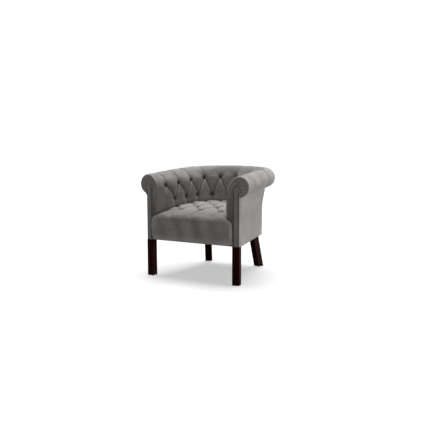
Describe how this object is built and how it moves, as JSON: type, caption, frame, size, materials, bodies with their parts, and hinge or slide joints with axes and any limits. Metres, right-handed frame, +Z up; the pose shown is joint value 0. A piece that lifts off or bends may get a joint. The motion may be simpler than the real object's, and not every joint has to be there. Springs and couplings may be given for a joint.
{
  "type": "tub chair",
  "caption": "Upholstered tub chair with one rolled back and arm line, deep buttoning, nailed arm facings and square wooden legs.",
  "frame": {"origin": "on the floor, at the middle of the chair's outline seen from above", "axes": "+Z up; the chair faces -Y; +X to the sitter's left, which is the right in a front view"},
  "size_m": [0.782, 0.7085, 0.7185],
  "materials": {
    "beech": "planed hardwood",
    "plywood": "sanded plywood",
    "dark_wood": "very dark mahogany stain, satin lacquer",
    "grey_cloth": "soft grey velvet-like chenille",
    "foam": "upholstery foam",
    "fibreboard": "brown fibreboard",
    "webbing": "woven webbing",
    "spring_steel": "oiled spring wire",
    "zinc_steel": "zinc-plated",
    "antique_nail": "dark antique finish",
    "deck_cloth": "off-white cotton",
    "dust_cloth": "black non-woven",
    "felt": "pressed felt"
  },
  "bodies": {
    "root": {"front_seat_rail": "beech", "right_seat_rail": "beech", "left_seat_rail": "beech", "back_seat_rail": "beech", "right_front_post": "beech", "left_front_post": "beech", "right_back_post": "beech", "left_back_post": "beech", "back_centre_slat": "beech", "right_arm_top_rail": "beech", "left_arm_top_rail": "beech", "back_top_rail": "beech", "right_scroll_board": "plywood", "left_scroll_board": "plywood", "corner_blocks": "beech", "corner_block_screws": "zinc_steel", "leg_bolts": "zinc_steel", "right_front_leg": "dark_wood", "left_front_leg": "dark_wood", "right_rear_leg": "dark_wood", "left_rear_leg": "dark_wood", "foot_glides": "felt", "seat_springs": "spring_steel", "spring_clips": "zinc_steel", "spring_tie_wires": "spring_steel", "seat_deck_cloth": "deck_cloth", "seat_foam": "foam", "seat_cover": "grey_cloth", "seat_buttons": "grey_cloth", "right_arm_webbing": "webbing", "left_arm_webbing": "webbing", "back_webbing": "webbing", "inside_foam": "foam", "inside_cover": "grey_cloth", "back_buttons": "grey_cloth", "right_outside_board": "fibreboard", "left_outside_board": "fibreboard", "back_outside_board": "fibreboard", "right_outside_cover": "grey_cloth", "left_outside_cover": "grey_cloth", "back_outside_cover": "grey_cloth", "right_facing_board": "plywood", "left_facing_board": "plywood", "right_facing_cover": "grey_cloth", "left_facing_cover": "grey_cloth", "right_facing_nails": "antique_nail", "left_facing_nails": "antique_nail", "dust_cover": "dust_cloth"}
  },
  "joints": []
}
